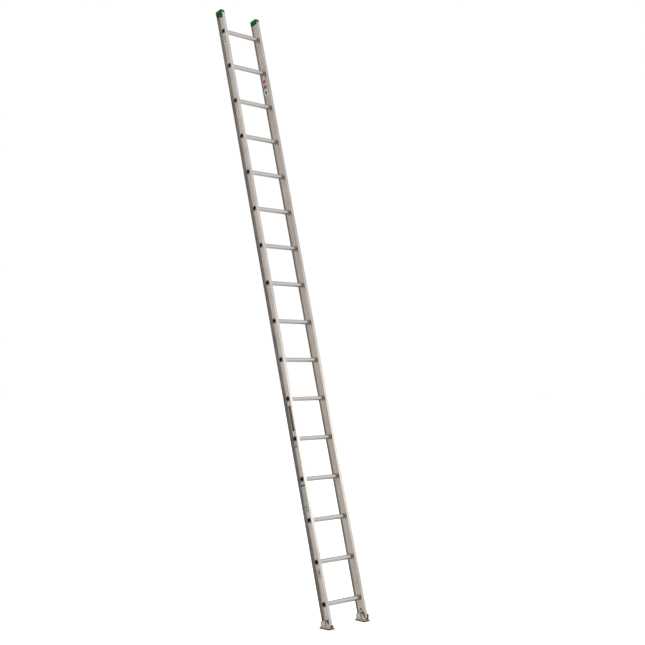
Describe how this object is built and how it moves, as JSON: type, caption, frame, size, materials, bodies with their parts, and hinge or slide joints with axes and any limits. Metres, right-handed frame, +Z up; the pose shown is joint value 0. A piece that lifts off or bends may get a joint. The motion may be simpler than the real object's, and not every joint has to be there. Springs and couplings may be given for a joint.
{
  "type": "single-section ladder",
  "caption": "Straight aluminium ladder with I-section rails, flared hollow D-section rungs, moulded end caps and swivel shoes with rubber pads.",
  "frame": {"origin": "bottom centre of the bounding box, on the ground between and above the two shoes", "axes": "+Z up, X along the rungs with the left rail at -X, the climber's side at -Y; the rails lean back to +Y at 14.5 degrees from upright"},
  "size_m": [0.438, 1.3098, 4.7748],
  "materials": {
    "rail": "mill-finish extrusion, satin",
    "rung": "mill-finish extrusion, satin",
    "shoe": "stamped, dull",
    "rubber": "matt black rubber",
    "cap": "moulded green plastic",
    "button": "moulded bright green plastic",
    "steel": "zinc plated",
    "label": "plain film, no lettering"
  },
  "bodies": {
    "frame": {"left_rail": "rail", "left_end_cap": "cap", "left_cap_rivet": "steel", "left_button_rivet": "steel", "left_button": "button", "left_pivot_bolt": "steel", "left_pivot_sleeve": "steel", "left_outer_washer": "steel", "left_inner_washer": "steel", "left_pivot_nut": "steel", "right_rail": "rail", "right_end_cap": "cap", "right_cap_rivet": "steel", "right_button_rivet": "steel", "right_button": "button", "right_pivot_bolt": "steel", "right_pivot_sleeve": "steel", "right_outer_washer": "steel", "right_inner_washer": "steel", "right_pivot_nut": "steel", "rung_01": "rung", "rung_02": "rung", "rung_03": "rung", "rung_04": "rung", "rung_05": "rung", "rung_06": "rung", "rung_07": "rung", "rung_08": "rung", "rung_09": "rung", "rung_10": "rung", "rung_11": "rung", "rung_12": "rung", "rung_13": "rung", "rung_14": "rung", "rung_15": "rung", "rung_16": "rung", "label_top_plate": "label", "label_long_plate": "label", "label_small_plate": "label", "label_size_plate": "label", "label_foot_plate": "label", "label_inner_plate": "label"},
    "left_shoe": {"left_shoe_bracket": "shoe", "left_shoe_pad": "rubber", "left_pad_rivet_front_outer": "steel", "left_pad_rivet_front_inner": "steel", "left_pad_rivet_rear_outer": "steel", "left_pad_rivet_rear_inner": "steel"},
    "right_shoe": {"right_shoe_bracket": "shoe", "right_shoe_pad": "rubber", "right_pad_rivet_front_outer": "steel", "right_pad_rivet_front_inner": "steel", "right_pad_rivet_rear_outer": "steel", "right_pad_rivet_rear_inner": "steel"}
  },
  "joints": [
    {"name": "left_shoe_pivot", "type": "hinge", "parent": "frame", "child": "left_shoe", "pos_m": [-0.187, -0.60085, 0.05666], "axis": [1, 0, 0], "range_deg": [-28, 75]},
    {"name": "right_shoe_pivot", "type": "hinge", "parent": "frame", "child": "right_shoe", "pos_m": [0.187, -0.60085, 0.05666], "axis": [1, 0, 0], "range_deg": [-28, 75]}
  ]
}
